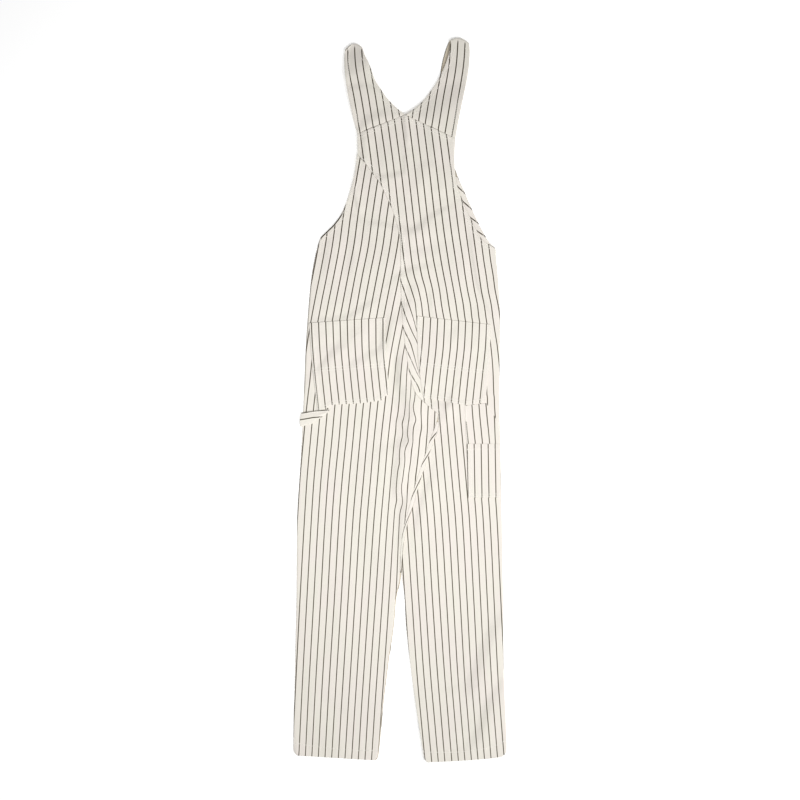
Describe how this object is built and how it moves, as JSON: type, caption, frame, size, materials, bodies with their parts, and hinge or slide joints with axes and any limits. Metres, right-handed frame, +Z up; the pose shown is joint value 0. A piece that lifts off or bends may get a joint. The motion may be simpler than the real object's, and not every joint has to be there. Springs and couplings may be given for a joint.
{
  "type": "dungarees",
  "caption": "Pinstriped cotton dungarees laid flat on their front, with a lapped back, seat pockets, a tool pocket and a hammer loop.",
  "frame": {"origin": "middle of the garment's footprint, on the surface it lies on", "axes": "+Y from the hems to the straps, +X to the wearer's right, +Z up, out of the garment's back"},
  "size_m": [0.426, 1.4474, 0.0103],
  "materials": {
    "striped_cotton": "cream cotton twill with narrow grey-brown woven stripes",
    "button": "plain matt brown"
  },
  "bodies": {
    "root": {"back_panel_left": "striped_cotton", "back_panel_right": "striped_cotton", "strap_left": "striped_cotton", "strap_right": "striped_cotton", "front_bib": "striped_cotton", "front_leg_left": "striped_cotton", "inseam_turn_left": "striped_cotton", "front_leg_right": "striped_cotton", "armhole_facing_right": "striped_cotton", "seat_pocket_left": "striped_cotton", "seat_pocket_right": "striped_cotton", "tool_pocket_base": "striped_cotton", "tool_pocket": "striped_cotton", "hammer_loop": "striped_cotton", "strap_button_left": "button", "strap_button_right": "button"}
  },
  "joints": []
}
